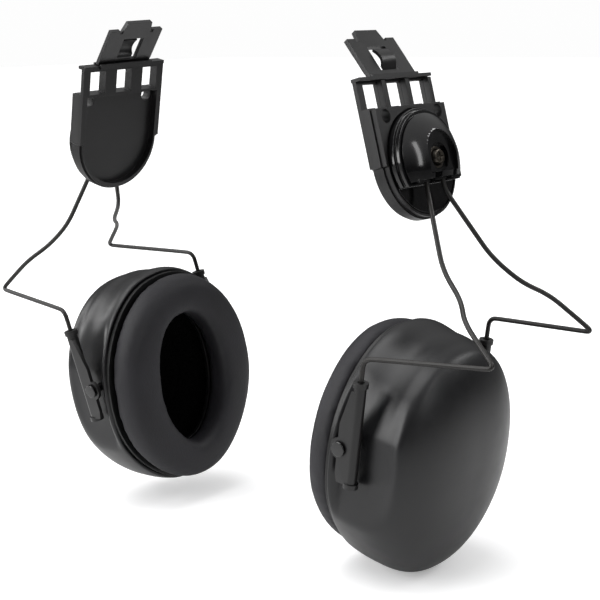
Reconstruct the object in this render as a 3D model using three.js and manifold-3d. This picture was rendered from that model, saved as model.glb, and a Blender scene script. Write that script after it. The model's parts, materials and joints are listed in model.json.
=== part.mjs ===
// Helmet-mounted earmuff pair: two hearing-protector cups, each on a sprung wire arm
// that hangs from a bracket with a blade for the accessory slot of a safety helmet.
// Millimetres, +Z up. +X runs outward from the head to the wearer's right-hand unit,
// -Y is the front. The right-hand cup stands on the plane z = 0 and the left-hand unit is
// posed a few millimetres higher.
import * as THREE from 'three';
import { mergeVertices } from 'three/addons/utils/BufferGeometryUtils.js';
import Module from 'manifold-3d';

const wasm = await Module();
wasm.setup();

// ---------- driving dimensions ----------
const GAP = 0.3; // clearance between pieces that touch or slide
const deg = THREE.MathUtils.degToRad;

const PLATE = {
  lean: 14.3, // degrees that the bracket leans in towards the head at its top
  x: 62.4,
  z: 151.2, // top edge of the plate in the unit frame
  halfWidth: 22.4,
  step: 0.9, // how far the rounded lower end is set in from the wings
  wingTop: -12,
  wingEnd: -34,
  bottom: -56.2,
  back: -1.2, // inner face, towards the helmet
  thin: 0.6, // outer face of the window plate
  wing: 4.2, // outer face of the wings
  thick: 6.5, // outer face of the body
  bodyInset: 0.7, // the body's outline is this much inside the wings
  skirtInset: 0.8,
  floor: 2, // floor of the dish that faces the helmet
  rim: 2.6,
};
const WINDOW = { top: -2.4, bottom: -12.2, halfWidth: 4.2, pitch: 14.6 };
const SCREW_HOLE = { y: 16.3, s: -15.7, radius: 2.7 };
const BLADE = {
  lean: 24.8, // degrees further in than the plate
  halfWidth: 14.4,
  length: 16.6,
  root: -1.4,
  inner: -1.2,
  outer: 0.7,
  footTop: 1.2, // the blade is thinned below this height, so the slot's wall seats above the lips
  footRelief: 0.15,
  tabHeight: 3.9,
  tabHalf: 7.9,
  tabTop: 6.7,
  notch: 1.3,
  slotHalf: 5.6,
  slotBottom: 1.4,
  slotTop: 12.4,
};
const BLADE_SEAT = { x: 0.5, z: 1 }; // blade's root in the plate frame
// low lips on both sides of the blade's foot
const UPSTAND = { inner: -2.4, innerFace: -1.5, outerFace: 1.9, outer: 2.7, root: -1.3, top: 0.8 };
const TONGUE = { half: 4.2, thick: 1.2, bow: 2.2 };
const HUB = {
  s: -34.1, // height of the swivel axis on the plate
  baseRadius: 19.9,
  recessRadius: 20.5, // round seat in the bracket that the base turns in
  recessFloor: 4.6,
  baseTop: 10.6,
  step: 8.8, // height where the base narrows
  groove: 1.1,
  domeRadius: 17.4,
  domeTop: 18.2,
  domeCurve: 25.3, // radius of the sphere that the dome is a cap of
  cutoff: -7.7, // flat lower side of the dome below the axis
  faceDepth: 15, // level of the arched flat in the dome
  faceHalf: 8.7,
  lipHalf: 13.5,
  lipTop: 13.4,
  screwHead: 3.4,
  counterbore: 5.4,
};
const ARM = { bend: 10, endBend: 4, wire: 1.05, crossHalf: 5.2, crossH: 10.7, crossS: 5.4, slack: 0.6 };
const BOSS = { radius: 3.8, top: 10, bore: 1.9 }; // post on the bracket that the hub turns on
const SCREW = { radius: 1.5, tip: 5, washer: 0.7, washerRadius: 4.2, sunk: 2.2 };
const LEG = { y: 41.4, x: 5.2, bendZ: 37.2, endZ: -12.5 };
const CUP = {
  lean: 8, // degrees that the cup leans out at its top
  x: 70.5,
  z: 15.5, // pivot line in the unit frame
  centreZ: -9,
  seam: -6, // plane where the shell meets the seal plate
  bellyX: 7, // plane where the shell is widest
  halfWidth: 43.2,
  halfHeight: 51.2,
  depth: 26.5, // from the belly to the outermost point
  backReach: 40, // the inward side of the belly curves this much more slowly
  power: 2.3,
  wall: 2.4,
  narrowTop: 0.14, // how much the outline draws in at each end
  narrowBottom: 0.26,
};
const HOLDER = { radius: 2.4, bore: 1.4, bottom: -14.8, top: 27.8, rim: 0.6, plate: 1.6, plateOffset: 0.8 };
const EAR = { low: -13.4, waist: -1, shoulder: 10, topX: 3, top: 24 };
const POCKET = { x: 5, z: 5, halfX: 22, halfZ: 40, reach: 16, floor: 36.8 };
const PIVOT = { radius: 1.8, head: 3, headHeight: 0.9, hole: 2.15 };
const CUSHION = {
  face: -20,
  back: -8.4,
  halfWidth: 40.6,
  halfHeight: 48.4,
  openHalfWidth: 18.8,
  openHalfHeight: 30,
  openPower: 2.4,
};
const SEAL_PLATE = { back: -8.1, front: -6.3, lip: 1.8, halfWidth: 41, halfHeight: 48.8 };

// Placement of the left-hand unit after it is mirrored: it stands a little further
// forward, slightly turned, with its hub swivelled from the neutral position.
const LEFT = {
  x: -0.8,
  y: -22.8,
  z: 4.4,
  turnX: 2.1,
  turnY: -1.9,
  turnAboutX: 95, // the turns are taken about this point of the mirrored unit
  turnAboutZ: 125,
  swivel: 7.6,
  armLean: -1.1,
  armTwist: -3.5,
  cupTilt: -7, // degrees that the cup hangs in from the neutral position
};

// ---------- materials ----------
const plastic = (color, roughness) =>
  new THREE.MeshStandardMaterial({ color, roughness, metalness: 0 });
const steel = (color, roughness) =>
  new THREE.MeshStandardMaterial({ color, roughness, metalness: 1 });
const shellPlastic = plastic(0x1d1d20, 0.42);
const bracketPlastic = plastic(0x18181a, 0.5);
const glossPlastic = plastic(0x101012, 0.22);
const cushionVinyl = plastic(0x232326, 0.6);
const foamBlack = plastic(0x0c0c0d, 0.95);
const wireSteel = steel(0x34322f, 0.4);
const screwSteel = steel(0x5b5a58, 0.35);

// ---------- solids ----------
function toSolid(geometry) {
  const plain = geometry.clone();
  plain.deleteAttribute('normal');
  plain.deleteAttribute('uv');
  const merged = mergeVertices(plain, 1e-4);
  return new wasm.Manifold(
    new wasm.Mesh({
      numProp: 3,
      vertProperties: new Float32Array(merged.attributes.position.array),
      triVerts: new Uint32Array(merged.index.array),
    }),
  );
}

function toGeometry(solid) {
  const mesh = solid.getMesh();
  const geometry = new THREE.BufferGeometry();
  geometry.setAttribute('position', new THREE.BufferAttribute(mesh.vertProperties, 3));
  geometry.setIndex(new THREE.BufferAttribute(mesh.triVerts, 1));
  geometry.computeVertexNormals();
  return geometry;
}

function box(x0, x1, y0, y1, z0, z1) {
  const geometry = new THREE.BoxGeometry(x1 - x0, y1 - y0, z1 - z0);
  geometry.translate((x0 + x1) / 2, (y0 + y1) / 2, (z0 + z1) / 2);
  return toSolid(geometry);
}

// A round bar along X, from x0 to x1, about the point (y, z).
function barX(radius, x0, x1, y, z, segments = 32, endRadius = radius) {
  const geometry = new THREE.CylinderGeometry(endRadius, radius, x1 - x0, segments);
  geometry.rotateZ(-Math.PI / 2);
  geometry.translate((x0 + x1) / 2, y, z);
  return toSolid(geometry);
}

// A round bar along Y, from y0 to y1, about the point (x, z).
function barY(radius, y0, y1, x, z, segments = 24) {
  const geometry = new THREE.CylinderGeometry(radius, radius, y1 - y0, segments);
  geometry.translate(x, (y0 + y1) / 2, z);
  return toSolid(geometry);
}

// A round bar along Z, from z0 to z1, about the point (x, y).
function barZ(radius, z0, z1, x, y, segments = 24) {
  const geometry = new THREE.CylinderGeometry(radius, radius, z1 - z0, segments);
  geometry.rotateX(Math.PI / 2);
  geometry.translate(x, y, (z0 + z1) / 2);
  return toSolid(geometry);
}

// Extrudes an outline drawn in (y, z) along X, from x0 to x1.
function slabX(shape, x0, x1, curveSegments = 20) {
  const geometry = new THREE.ExtrudeGeometry(shape, {
    depth: x1 - x0,
    bevelEnabled: false,
    curveSegments,
  });
  geometry.rotateX(Math.PI / 2);
  geometry.rotateZ(Math.PI / 2);
  geometry.translate(x0, 0, 0);
  return toSolid(geometry);
}

// Extrudes an outline drawn in (x, z) along Y, from y0 to y1.
function slabY(shape, y0, y1, curveSegments = 10) {
  const geometry = new THREE.ExtrudeGeometry(shape, {
    depth: y1 - y0,
    bevelEnabled: false,
    curveSegments,
  });
  geometry.rotateX(Math.PI / 2);
  geometry.translate(0, y1, 0);
  return toSolid(geometry);
}

// A rounded solid |x/a|^p + |y/b|^p + |z/c|^p = 1 about a centre. The half with
// negative x can have its own reach.
function roundBlock(radii, centre, power, segments, backReach = radii.x) {
  const geometry = new THREE.SphereGeometry(1, segments, segments / 2);
  geometry.rotateZ(Math.PI / 2);
  const points = geometry.attributes.position;
  const v = new THREE.Vector3();
  for (let i = 0; i < points.count; i += 1) {
    v.fromBufferAttribute(points, i);
    const sum =
      Math.abs(v.x) ** power + Math.abs(v.y) ** power + Math.abs(v.z) ** power;
    v.multiplyScalar(sum ** (-1 / power));
    v.x *= v.x < 0 ? backReach / radii.x : 1;
    v.multiply(radii).add(centre);
    points.setXYZ(i, v.x, v.y, v.z);
  }
  return toSolid(geometry);
}

// The cup's outline draws in towards its top and, more, towards its chin.
function narrowing(t) {
  return 1 - (t > 0 ? CUP.narrowTop : CUP.narrowBottom) * t * t;
}

function narrowed(solid, centreZ, halfHeight) {
  const geometry = toGeometry(solid);
  const points = geometry.attributes.position;
  for (let i = 0; i < points.count; i += 1) {
    const t = (points.getZ(i) - centreZ) / halfHeight;
    points.setY(i, points.getY(i) * narrowing(t));
  }
  return toSolid(geometry);
}

// A superellipse outline in (y, z), used for the cup, its seal plate and the cushion.
function ovalShape(halfWidth, halfHeight, centreZ, power, count) {
  const points = [];
  for (let i = 0; i < count; i += 1) {
    const angle = (2 * Math.PI * i) / count;
    const c = Math.cos(angle);
    const s = Math.sin(angle);
    const y = Math.sign(c) * halfWidth * Math.abs(c) ** (2 / power);
    const t = Math.sign(s) * Math.abs(s) ** (2 / power);
    points.push(new THREE.Vector2(y * narrowing(t), centreZ + t * halfHeight));
  }
  return new THREE.Shape(points);
}

function piece(name, solidOrGeometry, material) {
  const geometry = solidOrGeometry.isBufferGeometry
    ? solidOrGeometry
    : toGeometry(solidOrGeometry);
  const mesh = new THREE.Mesh(geometry, material);
  mesh.name = name;
  return mesh;
}

// ---------- bracket (plate frame: X out of the plate, Z up it, zero at the top edge) ----------
function bodyOutline(inset) {
  const half = PLATE.halfWidth - inset;
  const low = half - PLATE.step;
  const shape = new THREE.Shape();
  shape.moveTo(half, PLATE.wingTop - inset);
  shape.lineTo(half, PLATE.wingEnd);
  shape.lineTo(low, PLATE.wingEnd - 0.6);
  shape.absellipse(0, PLATE.wingEnd - 0.6, low, PLATE.wingEnd - 0.6 - PLATE.bottom - inset,
    0, Math.PI, true);
  shape.lineTo(-half, PLATE.wingEnd);
  shape.lineTo(-half, PLATE.wingTop - inset);
  shape.closePath();
  return shape;
}

function dishOutline() {
  const half = PLATE.halfWidth - PLATE.rim;
  const shape = new THREE.Shape();
  shape.moveTo(half, PLATE.wingTop - 1.4);
  shape.lineTo(half, PLATE.wingEnd);
  shape.absellipse(0, PLATE.wingEnd, half, PLATE.wingEnd - PLATE.bottom - PLATE.rim,
    0, Math.PI, true);
  shape.lineTo(-half, PLATE.wingTop - 1.4);
  shape.closePath();
  return shape;
}

function bracketSolid() {
  const half = PLATE.halfWidth;
  const { back, thin, wing, thick, floor } = PLATE;
  let solid = box(back, thin, -half, half, PLATE.wingEnd, 0);
  solid = solid.add(slabX(bodyOutline(0), 0.4, wing));
  solid = solid.add(slabX(bodyOutline(PLATE.bodyInset), wing - 0.1, thick));
  solid = solid.add(slabX(bodyOutline(PLATE.skirtInset), back, 0.5));
  const { inner, innerFace, outerFace, outer, root, top } = UPSTAND;
  solid = solid.add(box(back - 0.4, outer, -half, half, root, 0));
  solid = solid.subtract(slabX(dishOutline(), back - 1, floor));
  solid = solid.add(box(inner, innerFace, -BLADE.halfWidth, BLADE.halfWidth, root, top));
  solid = solid.add(box(outerFace, outer, -BLADE.halfWidth, BLADE.halfWidth, root, top));
  for (const column of [-1, 0, 1]) {
    const y = column * WINDOW.pitch;
    const [y0, y1] = [y - WINDOW.halfWidth, y + WINDOW.halfWidth];
    solid = solid.subtract(box(back - 1, thick + 1, y0, y1, WINDOW.bottom, WINDOW.top));
    // outer rib beside each window, carried from the thick body to the top bar
    solid = solid.add(box(0.1, wing - 1, y1 + 0.1, y1 + 2.2, WINDOW.bottom - 1, WINDOW.top + 0.6));
  }
  for (const side of [-1, 1]) {
    const y = side * SCREW_HOLE.y;
    solid = solid.subtract(barX(SCREW_HOLE.radius, back - 1, thick + 1, y, SCREW_HOLE.s, 20));
  }
  solid = solid.subtract(barX(HUB.recessRadius, HUB.recessFloor, thick + 1, 0, HUB.s, 48));
  solid = solid.add(barX(BOSS.radius, HUB.recessFloor - 0.5, BOSS.top, 0, HUB.s, 24));
  return solid.subtract(barX(BOSS.bore, SCREW.tip - GAP, BOSS.top + 1, 0, HUB.s, 16));
}

// ---------- helmet blade (blade frame: root on the plate's top edge, Z up the blade) ----------
function bladeOutline() {
  const { halfWidth: w, root, length, notch, tabHalf, tabTop, tabHeight } = BLADE;
  const shape = new THREE.Shape();
  shape.moveTo(w, root);
  shape.lineTo(w, length);
  shape.lineTo(tabHalf + notch, length);
  shape.lineTo(tabHalf + notch, length - notch);
  shape.lineTo(tabHalf, length - notch);
  shape.lineTo(tabTop, length + tabHeight);
  shape.lineTo(-tabTop, length + tabHeight);
  shape.lineTo(-tabHalf, length - notch);
  shape.lineTo(-tabHalf - notch, length - notch);
  shape.lineTo(-tabHalf - notch, length);
  shape.lineTo(-w, length);
  shape.lineTo(-w, root);
  shape.closePath();
  return shape;
}

// Everything below the plane just above the bracket's top edge, in the blade frame.
function belowSeat() {
  const depth = 10;
  const geometry = new THREE.BoxGeometry(2 * depth, 4 * BLADE.halfWidth, depth);
  geometry.translate(0, 0, GAP - BLADE_SEAT.z - depth / 2);
  geometry.rotateY(deg(BLADE.lean));
  return toSolid(geometry);
}

function bladeSolid() {
  const { slotHalf, slotBottom, slotTop, inner, outer, halfWidth, root, footTop, footRelief } = BLADE;
  const plate = slabX(bladeOutline(), inner, outer);
  const slot = box(inner - 1, outer + 1, -slotHalf, slotHalf, slotBottom, slotTop);
  const foot = box(inner - 1, inner + footRelief, -halfWidth - 1, halfWidth + 1, root - 1, footTop);
  return plate.subtract(slot).subtract(foot).subtract(belowSeat());
}

// A leaf hinged at its foot that bows out through the blade's slot.
function tongueSolid() {
  const { half, thick, bow } = TONGUE;
  const foot = BLADE.slotBottom + GAP;
  const tip = BLADE.slotTop - 1.6;
  const shape = new THREE.Shape();
  shape.moveTo(0.2, foot);
  shape.quadraticCurveTo(bow * 2.4, foot + 4, 1.4, tip);
  shape.lineTo(1.4 - thick * 0.6, tip - 0.7);
  shape.quadraticCurveTo(bow * 2.4 - thick - 1, foot + 3.4, 0.2, foot + thick + 0.4);
  shape.closePath();
  return slabY(shape, -half, half);
}

// ---------- hub (plate frame, about the swivel axis) ----------
function hubBaseSolid() {
  const bottom = HUB.recessFloor + GAP;
  const top = HUB.baseTop;
  const r = HUB.baseRadius;
  let solid = barX(r, bottom, HUB.step, 0, HUB.s, 44);
  solid = solid.add(barX(r - HUB.groove, bottom, top, 0, HUB.s, 44));
  const front = HUB.s + HUB.cutoff;
  // channel that the crossbar and legs of the wire swing in
  const reach = ARM.wire + ARM.slack;
  const channel = ARM.crossHalf + reach;
  const crossZ = HUB.s - ARM.crossS;
  solid = solid.subtract(
    box(ARM.crossH - reach, top + 1, -channel, channel, crossZ - reach, crossZ + reach),
  );
  const deep = ARM.crossH - reach - 1.4;
  solid = solid.subtract(box(deep, top + 1, -channel - 1, channel + 1, HUB.s - r, crossZ - 1));
  solid = solid.subtract(box(HUB.step - 2.4, top + 1, -r, r, HUB.s - r - 1, front - 1.4));
  return solid.subtract(barX(BOSS.radius + GAP, 0, top + 1, 0, HUB.s, 24));
}

function domeArch() {
  const half = HUB.faceHalf;
  const foot = HUB.s + HUB.cutoff + 2;
  const shape = new THREE.Shape();
  shape.moveTo(half, foot);
  shape.lineTo(half, HUB.s + 1);
  shape.absellipse(0, HUB.s + 1, half, half + 0.6, 0, Math.PI, false);
  shape.lineTo(-half, foot);
  shape.closePath();
  return shape;
}

function hubDomeSolid() {
  const bottom = HUB.baseTop + GAP;
  const ball = roundBlock(
    new THREE.Vector3(HUB.domeCurve, HUB.domeCurve, HUB.domeCurve),
    new THREE.Vector3(HUB.domeTop - HUB.domeCurve, 0, HUB.s),
    2,
    56,
  );
  const r = HUB.domeRadius;
  const front = HUB.s + HUB.cutoff;
  let solid = barX(r, bottom, HUB.domeTop + 1, 0, HUB.s, 48).intersect(ball);
  solid = solid.subtract(box(0, 30, -r, r, HUB.s - r - 1, front));
  // lip along the lower edge
  solid = solid.add(box(bottom, HUB.lipTop, -HUB.lipHalf, HUB.lipHalf, front - 0.8, front + 1.2));
  solid = solid.subtract(slabX(domeArch(), HUB.faceDepth, 30, 10));
  // slots and channel for the wire
  const crossZ = HUB.s - ARM.crossS;
  const reach = ARM.wire + ARM.slack;
  const channel = ARM.crossHalf + reach;
  solid = solid.subtract(
    box(0, ARM.crossH + reach, -channel, channel, crossZ - reach, crossZ + reach),
  );
  for (const side of [-1, 1]) {
    const y = side * ARM.crossHalf;
    solid = solid.subtract(box(0, 30, y - reach, y + reach, front - 3, crossZ));
  }
  solid = solid.subtract(barX(SCREW.radius + GAP, 0, 30, 0, HUB.s, 16));
  return solid.subtract(barX(HUB.counterbore, HUB.faceDepth - SCREW.sunk, 30, 0, HUB.s, 24));
}

function hubScrewSolid() {
  const seat = HUB.faceDepth - SCREW.sunk + SCREW.washer + 0.2;
  const head = barX(HUB.screwHead, seat, seat + 1.5, 0, HUB.s, 24, HUB.screwHead - 0.7);
  const shank = barX(SCREW.radius, SCREW.tip, seat + 0.2, 0, HUB.s, 16);
  let solid = head.add(shank);
  for (const turn of [0, 90]) {
    const geometry = new THREE.BoxGeometry(2, 0.8, 3.6);
    geometry.rotateX(deg(turn));
    geometry.translate(seat + 1.7, 0, HUB.s);
    solid = solid.subtract(toSolid(geometry));
  }
  return solid;
}

function hubWasherSolid() {
  const x0 = HUB.faceDepth - SCREW.sunk + 0.1;
  const ring = barX(SCREW.washerRadius, x0, x0 + SCREW.washer, 0, HUB.s, 24);
  return ring.subtract(barX(SCREW.radius + GAP, x0 - 1, x0 + 2, 0, HUB.s, 16));
}

// ---------- wire arm (unit frame) ----------
function plateToUnit(h, y, s) {
  const a = deg(PLATE.lean);
  return new THREE.Vector3(
    PLATE.x + h * Math.cos(a) - s * Math.sin(a),
    y,
    PLATE.z + h * Math.sin(a) + s * Math.cos(a),
  );
}

function cupToUnit(x, y, z) {
  const a = deg(CUP.lean);
  return new THREE.Vector3(
    CUP.x + x * Math.cos(a) + z * Math.sin(a),
    y,
    CUP.z - x * Math.sin(a) + z * Math.cos(a),
  );
}

// Corners of one half of the arm, from the middle of the crossbar to the leg's end.
function armCorners(side) {
  const crossZ = HUB.s - ARM.crossS;
  return [
    plateToUnit(ARM.crossH, side * ARM.crossHalf, crossZ),
    plateToUnit(ARM.crossH - 0.6, side * (ARM.crossHalf + 0.1), HUB.s - 12),
    new THREE.Vector3(98.1, side * 16.2, 82.3),
    new THREE.Vector3(109.1, side * 20.3, 73),
    new THREE.Vector3(116.4, side * 28.9, 67.5),
    new THREE.Vector3(132.9, side * 34, 54),
    cupToUnit(LEG.x, side * LEG.y, LEG.bendZ),
    cupToUnit(LEG.x, side * LEG.y, LEG.endZ),
  ];
}

// A path through given points that puts its steps on the points themselves.
class WirePath extends THREE.Curve {
  constructor(points) {
    super();
    this.points = points;
  }

  getPoint(t) {
    const place = t * (this.points.length - 1);
    const i = Math.min(Math.floor(place), this.points.length - 2);
    return this.points[i].clone().lerp(this.points[i + 1], place - i);
  }

  getPointAt(t) {
    return this.getPoint(t);
  }

  getTangentAt(t) {
    return this.getTangent(t);
  }
}

// Rounds each corner of a polyline with a quadratic bend of its own reach.
function bentPoints(corners, bends, steps) {
  const points = [corners[0]];
  for (let i = 1; i < corners.length - 1; i += 1) {
    const corner = corners[i];
    const before = corners[i - 1].clone().sub(corner);
    const after = corners[i + 1].clone().sub(corner);
    const reach = Math.min(bends[i], 0.45 * Math.min(before.length(), after.length()));
    const start = before.setLength(reach).add(corner);
    const end = after.setLength(reach).add(corner);
    const bend = new THREE.QuadraticBezierCurve3(start, corner, end);
    points.push(...bend.getPoints(steps));
  }
  points.push(corners[corners.length - 1]);
  return points;
}

function armSolid() {
  const corners = [...armCorners(-1).reverse(), ...armCorners(1)];
  const last = corners.length - 1;
  const bends = corners.map((corner, i) => {
    const fromEnd = Math.min(i, last - i);
    return fromEnd < 3 ? ARM.endBend : ARM.bend;
  });
  const points = bentPoints(corners, bends, 5);
  const section = new THREE.Shape();
  section.absarc(0, 0, ARM.wire, 0, 2 * Math.PI);
  const geometry = new THREE.ExtrudeGeometry(section, {
    steps: points.length - 1,
    extrudePath: new WirePath(points),
    curveSegments: 4,
  });
  return toSolid(geometry);
}

// ---------- wire holders and pivot pins (cup frame: zero on the pivot line) ----------
// The flat plate beside the tube that the pivot goes through.
function earOutline() {
  const { low, waist, shoulder, topX, top } = EAR;
  const shape = new THREE.Shape();
  shape.moveTo(LEG.x, low);
  shape.lineTo(LEG.x, top);
  shape.lineTo(topX, top);
  shape.lineTo(waist, shoulder);
  shape.lineTo(waist, -shoulder);
  shape.lineTo(waist + 1, low);
  shape.closePath();
  return shape;
}

function holderSolid(side) {
  const { radius, bore, bottom, top, rim, plate } = HOLDER;
  const y = side * LEG.y;
  let solid = barZ(radius, bottom, top, LEG.x, y);
  for (const z of [bottom, top - 2]) {
    solid = solid.add(barZ(radius + rim, z, z + 2, LEG.x, y));
  }
  const inner = side * (LEG.y + HOLDER.plateOffset);
  const [y0, y1] = [inner, inner + side * plate].sort((a, b) => a - b);
  solid = solid.add(slabY(earOutline(), y0, y1));
  solid = solid.add(barY(PIVOT.head + 1.4, y0, y1, 0, 0, 20));
  solid = solid.subtract(barY(PIVOT.hole, y0 - 2, y1 + 2, 0, 0, 16));
  return solid.subtract(barZ(bore, bottom - 1, top + 1, LEG.x, y, 12));
}

function pinSolid(side) {
  const floor = POCKET.floor;
  const outer = LEG.y + HOLDER.plateOffset + HOLDER.plate + GAP;
  const ends = [side * (floor - CUP.wall + 0.4), side * outer];
  ends.sort((a, b) => a - b);
  const shank = barY(PIVOT.radius, ends[0], ends[1], 0, 0, 16);
  const heads = [side * (outer - 0.05), side * (outer + PIVOT.headHeight)];
  heads.sort((a, b) => a - b);
  return shank.add(barY(PIVOT.head, heads[0], heads[1], 0, 0, 20));
}

// ---------- cup (cup frame) ----------
function pockets(grow) {
  const { x, z, halfX, halfZ, reach, floor } = POCKET;
  const radii = new THREE.Vector3(halfX + grow, reach + grow, halfZ + grow);
  const solids = [];
  for (const side of [-1, 1]) {
    const centre = new THREE.Vector3(x, side * (floor + reach), z);
    solids.push(roundBlock(radii, centre, 5, 16));
  }
  return solids;
}

function cupBlock(inset, segments) {
  const { bellyX, depth, backReach, halfWidth, halfHeight, centreZ, power } = CUP;
  const radii = new THREE.Vector3(depth - inset, halfWidth - inset, halfHeight - inset);
  const centre = new THREE.Vector3(bellyX, 0, centreZ);
  const block = roundBlock(radii, centre, power, segments, backReach);
  return narrowed(block, centreZ, radii.z);
}

function inwardHalf(x) {
  return box(-80, x, -80, 80, -90, 80);
}

function shellSolid() {
  let outer = cupBlock(0, 32).subtract(inwardHalf(CUP.seam));
  let inner = cupBlock(CUP.wall, 18);
  for (const pocket of pockets(0)) {
    outer = outer.subtract(pocket);
  }
  for (const pocket of pockets(CUP.wall)) {
    inner = inner.subtract(pocket);
  }
  let solid = outer.subtract(inner);
  for (const side of [-1, 1]) {
    const ends = [side * (POCKET.floor - CUP.wall - 2), side * (POCKET.floor + 4)];
    ends.sort((a, b) => a - b);
    solid = solid.subtract(barY(PIVOT.radius + 0.1, ends[0], ends[1], 0, 0, 20));
  }
  return solid;
}

function linerSolid() {
  const clear = CUP.wall + 1.6;
  let solid = cupBlock(clear, 16).subtract(inwardHalf(4));
  for (const pocket of pockets(clear)) {
    solid = solid.subtract(pocket);
  }
  const room = new THREE.Vector3(CUP.depth - CUP.seam + CUP.bellyX - clear - 12, 25, 34);
  const centre = new THREE.Vector3(CUP.seam, 0, CUP.centreZ);
  return solid.subtract(roundBlock(room, centre, 2.4, 16));
}

function ovalRing(outerHalf, outerHeight, innerHalf, innerHeight, x0, x1, count) {
  const shape = ovalShape(outerHalf, outerHeight, CUP.centreZ, CUP.power, count);
  const hole = ovalShape(innerHalf, innerHeight, CUP.centreZ, CUSHION.openPower, count / 2);
  return slabX(shape, x0, x1).subtract(slabX(hole, x0 - 1, x1 + 1));
}

function sealPlateSolid() {
  const { back, front, lip, halfWidth, halfHeight } = SEAL_PLATE;
  const { openHalfWidth: w, openHalfHeight: h } = CUSHION;
  return ovalRing(halfWidth, halfHeight, w + lip, h + lip, back, front, 56);
}

function cushionSolid() {
  const { face, back, halfWidth, halfHeight, openHalfWidth: w, openHalfHeight: h } = CUSHION;
  const bevel = 3;
  const body = ovalRing(halfWidth, halfHeight, w, h, face + bevel, back, 48);
  const crown = ovalRing(halfWidth - bevel, halfHeight - bevel, w + 1.5, h + 1.5, face,
    face + bevel + 0.1, 48);
  return body.add(crown);
}

// ---------- assembly ----------
function turnAbout(group, point, turn) {
  group.quaternion.copy(turn);
  group.position.copy(point.clone().sub(point.clone().applyQuaternion(turn)));
}

function buildUnit(prefix, swivel, slack, tilt) {
  const unit = new THREE.Group();
  unit.name = `${prefix}_unit`;

  const plate = new THREE.Group();
  plate.name = `${prefix}_plate_frame`;
  plate.position.set(PLATE.x, 0, PLATE.z);
  plate.rotation.y = -deg(PLATE.lean);
  plate.add(piece(`${prefix}_bracket`, bracketSolid(), bracketPlastic));

  const blade = new THREE.Group();
  blade.name = `${prefix}_blade_frame`;
  blade.position.set(BLADE_SEAT.x, 0, BLADE_SEAT.z);
  blade.rotation.y = -deg(BLADE.lean);
  blade.add(piece(`${prefix}_helmet_blade`, bladeSolid(), bracketPlastic));
  blade.add(piece(`${prefix}_latch_tongue`, tongueSolid(), bracketPlastic));
  plate.add(blade);

  // everything outside the bracket turns about the swivel axis
  const turret = new THREE.Group();
  turret.name = `${prefix}_swivel_frame`;
  turret.position.set(0, 0, HUB.s);
  turret.rotation.x = deg(swivel);
  const hub = new THREE.Group();
  hub.position.set(0, 0, -HUB.s);
  hub.add(piece(`${prefix}_hub_base`, hubBaseSolid(), bracketPlastic));
  hub.add(piece(`${prefix}_hub_dome`, hubDomeSolid(), glossPlastic));
  hub.add(piece(`${prefix}_hub_screw`, hubScrewSolid(), screwSteel));
  hub.add(piece(`${prefix}_hub_washer`, hubWasherSolid(), screwSteel));
  turret.add(hub);
  plate.add(turret);
  unit.add(plate);

  // arm and cup are drawn in the unit frame, carried by the same swivel
  const hubCentre = plateToUnit(0, 0, HUB.s);
  const axis = plateToUnit(1, 0, HUB.s).sub(hubCentre);
  const swivelled = new THREE.Group();
  turnAbout(swivelled, hubCentre, new THREE.Quaternion().setFromAxisAngle(axis, deg(swivel)));
  const carried = new THREE.Group();
  carried.name = `${prefix}_arm_frame`;
  const crossbar = plateToUnit(ARM.crossH, 0, HUB.s - ARM.crossS);
  turnAbout(carried, crossbar, new THREE.Quaternion().setFromEuler(slack));
  swivelled.add(carried);
  carried.add(piece(`${prefix}_wire_arm`, armSolid(), wireSteel));

  const cup = new THREE.Group();
  cup.name = `${prefix}_cup_frame`;
  cup.position.set(CUP.x, 0, CUP.z);
  cup.rotation.y = deg(CUP.lean);
  cup.add(piece(`${prefix}_front_wire_holder`, holderSolid(-1), bracketPlastic));
  cup.add(piece(`${prefix}_rear_wire_holder`, holderSolid(1), bracketPlastic));
  const tilted = new THREE.Group();
  tilted.name = `${prefix}_tilt_frame`;
  tilted.rotation.y = deg(tilt);
  tilted.add(piece(`${prefix}_front_pivot_pin`, pinSolid(-1), glossPlastic));
  tilted.add(piece(`${prefix}_rear_pivot_pin`, pinSolid(1), glossPlastic));
  tilted.add(piece(`${prefix}_cup_shell`, shellSolid(), shellPlastic));
  tilted.add(piece(`${prefix}_foam_liner`, linerSolid(), foamBlack));
  tilted.add(piece(`${prefix}_seal_plate`, sealPlateSolid(), glossPlastic));
  tilted.add(piece(`${prefix}_ear_cushion`, cushionSolid(), cushionVinyl));
  cup.add(tilted);
  carried.add(cup);
  unit.add(swivelled);
  return unit;
}

const earmuff = new THREE.Group();
earmuff.name = 'earmuff_pair';

const right = buildUnit('right', 0, new THREE.Euler(), 0);
earmuff.add(right);

const mirror = new THREE.Group();
mirror.scale.x = -1;
const slack = new THREE.Euler(0, deg(LEFT.armLean), deg(LEFT.armTwist));
mirror.add(buildUnit('left', LEFT.swivel, slack, LEFT.cupTilt));
const left = new THREE.Group();
left.name = 'left_placement';
left.position.set(LEFT.x - LEFT.turnAboutX, LEFT.y, LEFT.z + LEFT.turnAboutZ);
left.rotation.set(deg(LEFT.turnX), deg(LEFT.turnY), 0);
mirror.position.set(LEFT.turnAboutX, 0, -LEFT.turnAboutZ);
left.add(mirror);
earmuff.add(left);

// The origin is on the resting plane, under the middle of the pair.
const bounds = new THREE.Box3().setFromObject(earmuff, true);
const middle = bounds.getCenter(new THREE.Vector3());
earmuff.position.set(-middle.x, -middle.y, -bounds.min.z);

export default earmuff;
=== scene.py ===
"""Looks of the helmet-mounted earmuff pair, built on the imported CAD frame."""
import json
import math

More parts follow.
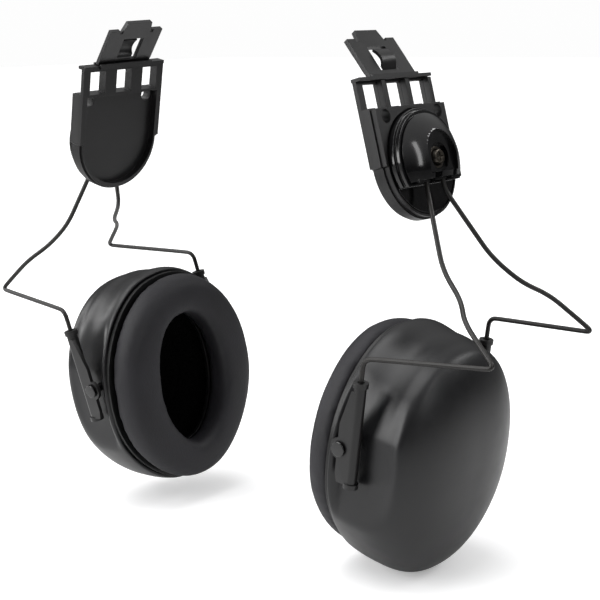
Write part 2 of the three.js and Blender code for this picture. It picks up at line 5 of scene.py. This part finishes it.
import bmesh
import bpy
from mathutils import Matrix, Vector


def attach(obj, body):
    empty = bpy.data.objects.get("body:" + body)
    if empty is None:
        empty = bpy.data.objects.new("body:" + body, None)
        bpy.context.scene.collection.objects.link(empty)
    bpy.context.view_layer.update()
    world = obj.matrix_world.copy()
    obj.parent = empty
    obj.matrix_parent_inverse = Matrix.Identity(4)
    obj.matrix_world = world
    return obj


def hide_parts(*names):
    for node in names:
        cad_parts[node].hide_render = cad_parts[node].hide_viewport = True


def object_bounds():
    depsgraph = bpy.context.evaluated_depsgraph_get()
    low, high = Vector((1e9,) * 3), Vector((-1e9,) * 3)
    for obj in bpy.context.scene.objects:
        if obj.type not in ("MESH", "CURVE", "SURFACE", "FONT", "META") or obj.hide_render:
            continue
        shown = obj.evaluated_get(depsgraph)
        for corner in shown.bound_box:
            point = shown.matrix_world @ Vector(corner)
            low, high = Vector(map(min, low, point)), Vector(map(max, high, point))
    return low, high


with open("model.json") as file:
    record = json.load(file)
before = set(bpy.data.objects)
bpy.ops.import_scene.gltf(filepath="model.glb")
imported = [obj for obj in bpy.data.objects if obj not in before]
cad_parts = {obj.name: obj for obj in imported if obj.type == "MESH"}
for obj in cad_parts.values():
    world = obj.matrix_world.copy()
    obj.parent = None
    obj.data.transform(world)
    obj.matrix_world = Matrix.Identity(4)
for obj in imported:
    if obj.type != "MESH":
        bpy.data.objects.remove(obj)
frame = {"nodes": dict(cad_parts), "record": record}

CAD_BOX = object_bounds()
MM = 0.001
MERGE = 2e-6  # metres
JOINTS = {j["name"]: j for j in frame["record"]["behaviour"]["joints"]}
MOUNTS = {m["name"]: m for m in frame["record"]["mounts"]}

# Cup profile in millimetres, in the cup's own frame: x outward, y rearward, z up,
# zero on the pivot line.
SHELL = {
    "seam": -6.0, "belly": 7.0, "depth": 26.5, "back_reach": 40.0, "half_width": 43.2,
    "half_height": 51.2, "centre": -9.0, "power": 2.3, "profile": 2.5, "narrow_top": 0.14,
    "narrow_bottom": 0.26, "wall": 2.0,
}
# pocket on each side of the shell that clears the wire holder; it deepens above deepens_from
SCOOP = {
    "x": 5.0, "z": 5.0, "half_x": 22.0, "half_z": 40.0, "reach": 16.0, "floor": 36.8, "power": 5.0,
    "deepens_from": 6.0, "deepening": 0.3, "edge_blend": 2.6, "starts": -5.0, "full": -2.6,
}
# soft step between the shell's flanks and its raised outer face
SHOULDER = {
    "inset": 2.7, "edge": 20.5, "edge_rise": 2.5, "outer": 1.5, "inner": -6.5,
    "flank_start": -5.0, "flank_full": 9.0, "low_side": -0.45, "high_side": 0.5,
}
PAD = {"voxel": 2.2, "pressure": 4.0, "frames": 20, "held_above": -10.5, "most": 0.7}
CUSHION = {"half_width": 40.6, "half_height": 48.4, "open_width": 19.2, "open_height": 30.4,
           "open_power": 2.4}


# ---------- materials ----------
def node_material(name):
    mat = bpy.data.materials.new(name)
    mat.use_nodes = True
    tree = mat.node_tree
    shader = tree.nodes["Principled BSDF"]
    return mat, tree, shader


def add(tree, kind, **values):
    node = tree.nodes.new(kind)
    for key, value in values.items():
        if key in node.inputs:
            node.inputs[key].default_value = value
        else:
            setattr(node, key, value)
    return node


def ramp(tree, source, low, high, low_at=0.35, high_at=0.65):
    node = tree.nodes.new("ShaderNodeValToRGB")
    node.color_ramp.elements[0].position = low_at
    node.color_ramp.elements[0].color = low
    node.color_ramp.elements[1].position = high_at
    node.color_ramp.elements[1].color = high
    tree.links.new(source, node.inputs["Fac"])
    return node


def grey(value):
    return (value, value, value, 1.0)


def moulded(name, colour, rough, grain=1500.0, bump=0.25, depth=0.00006, wear=0.02, coat=0.0,
            metal=0.0, cells=False, spread=0.25, gleam=0.42):
    """Moulded, sprayed or drawn surface with grain, uneven sheen and paler worn edges."""
    mat, tree, shader = node_material(name)
    link = tree.links.new
    coord = add(tree, "ShaderNodeTexCoord")
    if cells:
        fine = add(tree, "ShaderNodeTexVoronoi", Scale=grain, Randomness=1.0)
        fine_out = fine.outputs["Distance"]
    else:
        fine = add(tree, "ShaderNodeTexNoise", Scale=grain, Detail=3.0, Roughness=0.6)
        fine_out = fine.outputs["Fac"]
    broad = add(tree, "ShaderNodeTexNoise", Scale=38.0, Detail=5.0, Roughness=0.62)
    link(coord.outputs["Object"], fine.inputs["Vector"])
    link(coord.outputs["Object"], broad.inputs["Vector"])
    low = tuple(c * (1 - spread) for c in colour) + (1.0,)
    high = tuple(c * (1 + spread) for c in colour) + (1.0,)
    tone = ramp(tree, broad.outputs["Fac"], low, high)
    geometry = add(tree, "ShaderNodeNewGeometry")
    edge = ramp(tree, geometry.outputs["Pointiness"], grey(0.0), grey(1.0), 0.52, 0.62)
    worn = add(tree, "ShaderNodeMix", data_type="RGBA", blend_type="ADD")
    worn.inputs[0].default_value = 0.0
    link(edge.outputs["Color"], worn.inputs[0])
    link(tone.outputs["Color"], worn.inputs[6])
    worn.inputs[7].default_value = grey(wear)
    link(worn.outputs[2], shader.inputs["Base Color"])
    sheen = add(tree, "ShaderNodeMapRange")
    sheen.inputs["From Min"].default_value = 0.3
    sheen.inputs["From Max"].default_value = 0.7
    sheen.inputs["To Min"].default_value = max(0.03, rough - 0.06)
    sheen.inputs["To Max"].default_value = rough + 0.07
    link(broad.outputs["Fac"], sheen.inputs["Value"])
    link(sheen.outputs["Result"], shader.inputs["Roughness"])
    relief = add(tree, "ShaderNodeBump", Strength=bump, Distance=depth)
    link(fine_out, relief.inputs["Height"])
    link(relief.outputs["Normal"], shader.inputs["Normal"])
    shader.inputs["Metallic"].default_value = metal
    shader.inputs["Coat Weight"].default_value = coat
    shader.inputs["Coat Roughness"].default_value = 0.06
    shader.inputs["Specular IOR Level"].default_value = gleam
    return mat


SHELL_MAT = moulded("cup_shell_plastic", (0.004, 0.004, 0.0048), 0.36, 1500.0, 0.07, wear=0.003)
BRACKET_MAT = moulded("bracket_plastic", (0.006, 0.0058, 0.0062), 0.4, 1300.0, 0.45, wear=0.008)
HOLDER_MAT = moulded("holder_plastic", (0.005, 0.0048, 0.005), 0.36, 1500.0, 0.3, wear=0.008)
GLOSS_MAT = moulded("gloss_plastic", (0.003, 0.003, 0.0034), 0.15, 900.0, 0.05, wear=0.002,
                    coat=0.35, gleam=0.34)
SEAL_MAT = moulded("seal_plastic", (0.005, 0.005, 0.0052), 0.34, 1500.0, 0.1, wear=0.003, gleam=0.3)
VINYL_MAT = moulded("cushion_vinyl", (0.0115, 0.011, 0.0138), 0.6, 1150.0, 0.4, 0.0001,
                    wear=0.003, cells=True, gleam=0.36)
FOAM_MAT = moulded("liner_foam", (0.0015, 0.0015, 0.0015), 1.0, 700.0, 1.0, 0.0006, wear=0.0,
                   cells=True, gleam=0.1)
WIRE_MAT = moulded("wire_steel", (0.012, 0.011, 0.0102), 0.36, 1100.0, 0.3, wear=0.012, metal=0.2)
SCREW_MAT = moulded("screw_steel", (0.075, 0.066, 0.054), 0.3, 1600.0, 0.3, wear=0.06, metal=1.0)


def studio_floor():
    """Pale sweep, lit slightly from below, whose colour in reflections is painted darker away from
    the object: painted shade.
    """
    mat = moulded("studio_floor", (0.9, 0.9, 0.905), 0.7, 60.0, 0.02, wear=0.0, spread=0.004)
    tree = mat.node_tree
    shader = tree.nodes["Principled BSDF"]
    paper = shader.inputs["Base Color"].links[0].from_socket
    coord = add(tree, "ShaderNodeTexCoord")
    reach = add(tree, "ShaderNodeVectorMath", operation="LENGTH")
    tree.links.new(coord.outputs["Object"], reach.inputs[0])
    # painted shade: as reflections see it, the floor darkens from 0.85 near the object to 0.12 about
    # 0.6 m out
    painted_reflection_shade = ramp(tree, reach.outputs["Value"], grey(0.85), grey(0.12), 0.16, 0.6)
    rays = add(tree, "ShaderNodeLightPath")
    tone = add(tree, "ShaderNodeMix", data_type="RGBA")
    tree.links.new(rays.outputs["Is Camera Ray"], tone.inputs[0])
    tree.links.new(painted_reflection_shade.outputs["Color"], tone.inputs[6])
    tree.links.new(paper, tone.inputs[7])
    tree.links.new(tone.outputs[2], shader.inputs["Base Color"])
    glow = add(tree, "ShaderNodeMath", operation="MULTIPLY")
    glow.inputs[1].default_value = 0.3
    tree.links.new(rays.outputs["Is Camera Ray"], glow.inputs[0])
    shader.inputs["Emission Color"].default_value = grey(1.0)
    tree.links.new(glow.outputs["Value"], shader.inputs["Emission Strength"])
    return mat


FLOOR_MAT = studio_floor()


# ---------- frames taken from the record ----------
class Place:
    """A right- or left-handed set of axes at a point, with sizes in millimetres."""

    def __init__(self, origin, x, y, z):
        self.origin, self.x, self.y, self.z = origin, x, y, z

    def at(self, x, y, z):
        return self.origin + (self.x * x + self.y * y + self.z * z) * MM

    def local(self, point):
        d = (point - self.origin) / MM
        return Vector((d.dot(self.x), d.dot(self.y), d.dot(self.z)))


def cup_place(side):
    tilt = JOINTS[side + "_cup_tilt"]
    axis = Vector(tilt["axis"]).normalized()
    out = -Vector(MOUNTS[side + "_cushion_face"]["axis"]).normalized()
    return Place(Vector(tilt["pos_m"]), out, axis if side == "right" else -axis, out.cross(axis))


# ---------- mesh helpers ----------
def new_piece(name, bm, material, body, nodes):
    bmesh.ops.recalc_face_normals(bm, faces=bm.faces)
    for face in bm.faces:
        face.smooth = True
    mesh = bpy.data.meshes.new(name)
    bm.to_mesh(mesh)
    bm.free()
    mesh.materials.append(material)
    obj = bpy.data.objects.new(name, mesh)
    bpy.context.scene.collection.objects.link(obj)
    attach(obj, body)
    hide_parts(*nodes)
    return obj


def copy_of(node):
    """The CAD node's mesh as clean, merged geometry."""
    bm = bmesh.new()
    bm.from_mesh(frame["nodes"][node].data)
    bmesh.ops.remove_doubles(bm, verts=bm.verts, dist=MERGE)
    return bm


def rounded_copy(node, body, material, width, segments=2, angle=34.0):
    """A CAD node with its moulded edges rounded over."""
    obj = new_piece(node + "_finished", copy_of(node), material, body, [node])
    bevel = obj.modifiers.new("edges", "BEVEL")
    bevel.width = width * MM
    bevel.segments = segments
    bevel.limit_method = "ANGLE"
    bevel.angle_limit = math.radians(angle)
    bevel.use_clamp_overlap = True
    flat = obj.modifiers.new("flat_faces", "WEIGHTED_NORMAL")
    flat.mode = "FACE_AREA"
    flat.weight = 80
    return obj


def narrowing(t):
    return 1 - (SHELL["narrow_top"] if t > 0 else SHELL["narrow_bottom"]) * t * t


def super_point(angle, power):
    c, s = math.cos(angle), math.sin(angle)
    return (math.copysign(abs(c) ** (2 / power), c), math.copysign(abs(s) ** (2 / power), s))


def oval(angle, half_width, half_height, power):
    y, t = super_point(angle, power)
    return y * half_width * narrowing(t), SHELL["centre"] + t * half_height


def smooth_step(low, high, value):
    """0 at low and 1 at high; low may be the larger of the two."""
    t = min(1.0, max(0.0, (value - low) / (high - low)))
    return t * t * (3 - 2 * t)


def smooth_min(a, b, k):
    h = max(k - abs(a - b), 0.0) / k
    return min(a, b) - h * h * k / 4


# ---------- cup shell ----------
def scoop_limit(x, z):
    """How far out sideways the shell may reach, given the scoop that clears the wire holder."""
    s = SCOOP
    dx = abs(x - s["x"]) / s["half_x"]
    dz = abs(z - s["z"]) / s["half_z"]
    left = 1 - dx ** s["power"] - dz ** s["power"]
    if left <= 0:
        return s["floor"] + s["reach"]
    deeper = s["deepening"] * max(0.0, z - s["deepens_from"])
    return s["floor"] - deeper + s["reach"] * (1 - left ** (1 / s["power"]))


def shoulder_inset(x, angle):
    """How much the skin is drawn in between the seam and the edge of the raised outer face."""
    s = SHOULDER
    up = math.sin(angle)
    edge = s["edge"] + s["edge_rise"] * max(0.0, up)
    falls = smooth_step(edge + s["outer"], edge + s["inner"], x)
    falls *= smooth_step(s["flank_start"], s["flank_full"], x)
    return s["inset"] * falls * smooth_step(s["low_side"], s["high_side"], up)


def shell_point(angle, rise):
    """A point of the outer skin. rise is -90..90 degrees from the inner to the outer pole."""
    s = SHELL
    ring, reach = super_point(math.radians(rise), s["profile"])
    x = s["belly"] + reach * (s["depth"] if reach > 0 else s["back_reach"])
    y1, z1 = super_point(angle, s["power"])
    t = z1 * ring
    y = y1 * ring * s["half_width"] * narrowing(t)
    z = t * s["half_height"]
    away = max(1.0, math.hypot(y, z))
    share = 1 - shoulder_inset(x, angle) / away
    y, z = y * share, s["centre"] + z * share
    carved = smooth_min(abs(y), scoop_limit(x, z), SCOOP["edge_blend"])
    lip = smooth_step(SCOOP["starts"], SCOOP["full"], x)
    y = math.copysign(abs(y) + (carved - abs(y)) * lip, y)
    return x, y, z


def seam_rise():
    s = SHELL
    part = (s["belly"] - s["seam"]) / s["back_reach"]
    return -math.degrees(math.asin(part ** (s["profile"] / 2)))


def build_shell(side, place):
    around, along = 176, 64
    crowding = 0.92  # packs the rings a little closer near the seam
    low = seam_rise()
    bm = bmesh.new()
    rings = []
    for j in range(along):
        share = j / along
        rise = low + (90 - low) * share ** crowding
        ring = []
        for i in range(around):
            ring.append(bm.verts.new(place.at(*shell_point(2 * math.pi * i / around, rise))))
        rings.append(ring)
    pole = bm.verts.new(place.at(*shell_point(0.0, 90.0)))
    for j in range(along - 1):
        for i in range(around):
            k = (i + 1) % around
            bm.faces.new((rings[j][i], rings[j][k], rings[j + 1][k], rings[j + 1][i]))
    for i in range(around):
        bm.faces.new((rings[-1][i], rings[-1][(i + 1) % around], pole))
    obj = new_piece(side + "_cup_shell_finished", bm, SHELL_MAT, side + "_cup",
                    [side + "_cup_shell"])
    skin = obj.modifiers.new("wall", "SOLIDIFY")
    skin.thickness = SHELL["wall"] * MM
    skin.offset = -1.0
    skin.use_even_offset = True
    rim = obj.modifiers.new("rim", "BEVEL")
    rim.width = 0.5 * MM
    rim.segments = 3
    rim.limit_method = "ANGLE"
    rim.angle_limit = math.radians(55)
    rim.use_clamp_overlap = True
    return obj


# ---------- ear cushion ----------
# Section of the padded ring, in millimetres: x, then the inset from the outer edge (o) or
# the inner edge (i).
SECTION = [
    (-8.5, "o", 1.6), (-9.4, "o", 0.6), (-11.0, "o", 0.1), (-14.0, "o", 0.3), (-16.8, "o", 1.1),
    (-18.8, "o", 2.4), (-20.1, "o", 4.0), (-20.7, "o", 6.0), (-20.9, "o", 9.2),
    (-20.95, "i", 7.6), (-20.9, "i", 4.2), (-20.6, "i", 2.4), (-19.9, "i", 1.2), (-18.4, "i", 0.5),
    (-15.0, "i", 0.3), (-11.0, "i", 0.3), (-8.5, "i", 0.6),
]


def build_cushion(side, place):
    around = 128
    c = CUSHION
    bm = bmesh.new()
    loops = []
    for i in range(around):
        angle = 2 * math.pi * i / around
        loop = []
        for x, edge, inset in SECTION:
            if edge == "o":
                y, z = oval(angle, c["half_width"] - inset, c["half_height"] - inset, SHELL["power"])
            else:
                y, z = oval(angle, c["open_width"] + inset, c["open_height"] + inset, c["open_power"])
            loop.append(bm.verts.new(place.at(x, y, z)))
        loops.append(loop)
    count = len(SECTION)
    for i in range(around):
        k = (i + 1) % around
        for j in range(count):
            m = (j + 1) % count
            bm.faces.new((loops[i][j], loops[i][m], loops[k][m], loops[k][j]))
    obj = new_piece(side + "_ear_cushion_padded", bm, VINYL_MAT, side + "_cup",
                    [side + "_ear_cushion"])
    inflate(obj, place)
    soft = obj.modifiers.new("soft", "SUBSURF")
    soft.levels = soft.render_levels = 1
    return obj


def inflate(obj, place):
    """Pumps the pad up a little as cloth, then keeps the settled mesh."""
    scene = bpy.context.scene
    bpy.ops.object.select_all(action="DESELECT")
    obj.select_set(True)
    bpy.context.view_layer.objects.active = obj
    remesh = obj.modifiers.new("remesh", "REMESH")
    remesh.mode = "VOXEL"
    remesh.voxel_size = PAD["voxel"] * MM
    remesh.use_smooth_shade = True
    bpy.ops.object.modifier_apply(modifier=remesh.name)
    start = [v.co.copy() for v in obj.data.vertices]
    hold = obj.vertex_groups.new(name="hold")
    for v in obj.data.vertices:
        if place.local(v.co).x > PAD["held_above"]:
            hold.add([v.index], 1.0, "REPLACE")
    cloth = obj.modifiers.new("cloth", "CLOTH")
    cloth.settings.use_pressure = True
    cloth.settings.uniform_pressure_force = PAD["pressure"]
    cloth.settings.vertex_group_mass = hold.name
    cloth.settings.effector_weights.gravity = 0.0
    cloth.settings.quality = 5
    for number in range(1, PAD["frames"] + 1):
        scene.frame_set(number)
    graph = bpy.context.evaluated_depsgraph_get()
    settled = [v.co.copy() for v in obj.evaluated_get(graph).data.vertices]
    obj.modifiers.remove(cloth)
    most = PAD["most"] * MM
    for v, was, now in zip(obj.data.vertices, start, settled):
        move = now - was
        if move.length > most:
            move = move.normalized() * most
        v.co = was + move
    scene.frame_set(1)
    smooth = obj.modifiers.new("settle", "SMOOTH")
    smooth.factor = 0.5
    smooth.iterations = 4
    obj.vertex_groups.clear()


# ---------- wire arm ----------
def build_wire(side):
    """The bent wire, subdivided so that its bends and section are smooth."""
    node = side + "_wire_arm"
    bm = copy_of(node)
    flat_enough = math.radians(60)
    bmesh.ops.join_triangles(bm, faces=bm.faces, angle_face_threshold=flat_enough,
                             angle_shape_threshold=flat_enough)
    obj = new_piece(node + "_finished", bm, WIRE_MAT, side + "_arm", [node])
    soft = obj.modifiers.new("round", "SUBSURF")
    soft.levels = soft.render_levels = 2
    return obj


# ---------- everything, side by side ----------
# node, body, material, slot, width of the rounded edge in millimetres
ROUNDED = [
    ("bracket", "mount", BRACKET_MAT, "bracket_plastic", 0.35),
    ("helmet_blade", "mount", BRACKET_MAT, "bracket_plastic", 0.22),
    ("hub_screw", "mount", SCREW_MAT, "screw_steel", 0.12),
    ("hub_washer", "mount", SCREW_MAT, "screw_steel", 0.1),
    ("latch_tongue", "latch", BRACKET_MAT, "bracket_plastic", 0.2),
    ("hub_base", "hub", GLOSS_MAT, "bracket_plastic", 0.35),
    ("hub_dome", "hub", GLOSS_MAT, "gloss_plastic", 0.5),
    ("front_wire_holder", "front_slider", HOLDER_MAT, "holder_plastic", 0.3),
    ("rear_wire_holder", "rear_slider", HOLDER_MAT, "holder_plastic", 0.3),
    ("front_pivot_pin", "cup", GLOSS_MAT, "gloss_plastic", 0.3),
    ("rear_pivot_pin", "cup", GLOSS_MAT, "gloss_plastic", 0.3),
    ("seal_plate", "cup", SEAL_MAT, "gloss_plastic", 0.5),
]

for prefix in ("right", "left"):
    cup = cup_place(prefix)
    build_shell(prefix, cup)
    build_cushion(prefix, cup)
    build_wire(prefix)
    for role, body_name, finish, slot_name, edge_width in ROUNDED:
        rounded_copy(f"{prefix}_{role}", f"{prefix}_{body_name}", finish, edge_width)
    liner = frame["nodes"][prefix + "_foam_liner"]
    liner.data.materials.clear()
    liner.data.materials.append(FOAM_MAT)


# ---------- studio ----------
def area_light(name, place, target, size, power):
    data = bpy.data.lights.new(name, "AREA")
    data.shape = "RECTANGLE"
    data.size, data.size_y = size
    data.energy = power
    obj = bpy.data.objects.new(name, data)
    obj.location = place
    obj.rotation_euler = (Vector(target) - Vector(place)).to_track_quat("-Z", "Y").to_euler()
    bpy.context.scene.collection.objects.link(obj)


floor_mesh = bpy.data.meshes.new("floor")
SPAN = 6.0
FLOOR_DROP = 0.0003
floor_mesh.from_pydata(
    [(-SPAN, -SPAN, 0), (SPAN, -SPAN, 0), (SPAN, SPAN, 0), (-SPAN, SPAN, 0)], [], [(0, 1, 2, 3)])
floor_mesh.materials.append(FLOOR_MAT)
floor = bpy.data.objects.new("floor", floor_mesh)
floor.location.z = CAD_BOX[0].z - FLOOR_DROP
bpy.context.scene.collection.objects.link(floor)

CENTRE = (0.0, 0.0, 0.1)
sun_data = bpy.data.lights.new("overhead", "SUN")
sun_data.energy = 1.9
sun_data.angle = math.radians(55)
sun = bpy.data.objects.new("overhead", sun_data)
sun.rotation_euler = (math.radians(8), math.radians(-14), 0.0)
bpy.context.scene.collection.objects.link(sun)
area_light("front_left_softbox", (-0.45, -0.95, 0.5), CENTRE, (0.45, 0.85), 8.0)
area_light("back_panel", (0.7, 0.82, 0.78), CENTRE, (0.5, 0.3), 3.2)
area_light("right_strip", (0.95, -0.1, 0.6), CENTRE, (0.12, 0.7), 1.6)
area_light("left_strip", (-1.0, -0.25, 0.35), CENTRE, (0.35, 0.8), 3.5)

# White behind the object as the camera sees it, dimmer walls for what the plastic reflects.
world = bpy.data.worlds.new("studio")
bpy.context.scene.world = world
world.use_nodes = True
sky = world.node_tree
back = sky.nodes["Background"]
coord = add(sky, "ShaderNodeTexCoord")
split = add(sky, "ShaderNodeSeparateXYZ")
sky.links.new(coord.outputs["Generated"], split.inputs["Vector"])
walls = ramp(sky, split.outputs["Z"], grey(0.05), grey(0.75), 0.12, 0.85)
rays = add(sky, "ShaderNodeLightPath")
seen = add(sky, "ShaderNodeMix", data_type="RGBA")
sky.links.new(rays.outputs["Is Camera Ray"], seen.inputs[0])
sky.links.new(walls.outputs["Color"], seen.inputs[6])
seen.inputs[7].default_value = (0.985, 0.985, 0.985, 1.0)
sky.links.new(seen.outputs[2], back.inputs["Color"])
back.inputs["Strength"].default_value = 1.0
bpy.context.scene.view_settings.view_transform = "Standard"

camera_data = bpy.data.cameras.new("camera")
camera_data.lens = 77.8
camera_data.sensor_width = 36.0
camera_data.clip_start = 0.01
camera = bpy.data.objects.new("camera", camera_data)
# the camera stands this far from the right-hand cup's pivot
camera.location = Vector(JOINTS["right_cup_tilt"]["pos_m"]) + Vector((0.2982, -0.399, 0.1562))
camera.rotation_euler = (1.360646, 0.021609, 0.722713)
bpy.context.scene.collection.objects.link(camera)
bpy.context.scene.camera = camera
